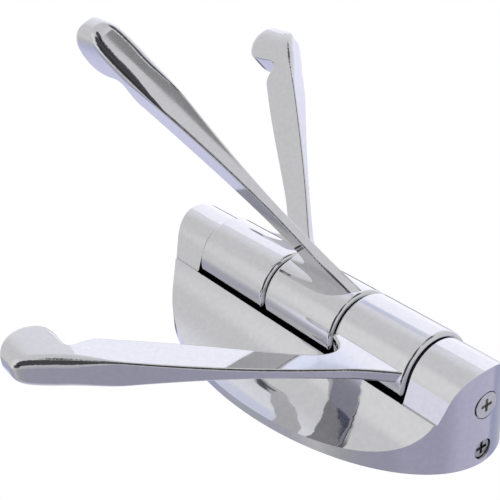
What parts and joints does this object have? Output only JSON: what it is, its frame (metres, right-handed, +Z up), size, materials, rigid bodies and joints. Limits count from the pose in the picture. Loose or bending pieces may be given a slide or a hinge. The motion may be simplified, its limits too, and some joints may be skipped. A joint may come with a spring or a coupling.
{
  "type": "folding wall hook",
  "caption": "Wall hook with an oval back plate and swinging arms that rise from a common upright barrel to notched, bulbous tips.",
  "frame": {"origin": "midway between the wall bracket's two screw holes, on the wall's surface", "axes": "+Z up in use and along the barrel, +Y into the wall, so the hook stands out towards -Y"},
  "size_m": [0.1128, 0.072, 0.1243],
  "materials": {
    "body_chrome": "polished chrome plating",
    "arm_chrome": "polished chrome plating",
    "screw_steel": "nickel-plated screw",
    "bracket_steel": "zinc-plated sheet steel",
    "washer_plastic": "black plastic"
  },
  "bodies": {
    "base": {"body": "body_chrome", "wall_bracket": "bracket_steel", "pivot_screw": "screw_steel", "lock_screw": "screw_steel", "bottom_washer": "washer_plastic", "lower_washer": "washer_plastic", "upper_washer": "washer_plastic", "top_washer": "washer_plastic"},
    "lower_arm": {"lower_arm": "arm_chrome"},
    "middle_arm": {"middle_arm": "arm_chrome"},
    "upper_arm": {"upper_arm": "arm_chrome"}
  },
  "joints": [
    {"name": "lower_arm_swing", "type": "hinge", "parent": "base", "child": "lower_arm", "pos_m": [0, -0.0134, 0], "axis": [0, 0, -1], "range_deg": [-165, 2]},
    {"name": "middle_arm_swing", "type": "hinge", "parent": "base", "child": "middle_arm", "pos_m": [0, -0.0134, 0], "axis": [0, 0, -1], "range_deg": [-93, 73]},
    {"name": "upper_arm_swing", "type": "hinge", "parent": "base", "child": "upper_arm", "pos_m": [0, -0.0134, 0], "axis": [0, 0, -1], "range_deg": [-20, 147]}
  ]
}
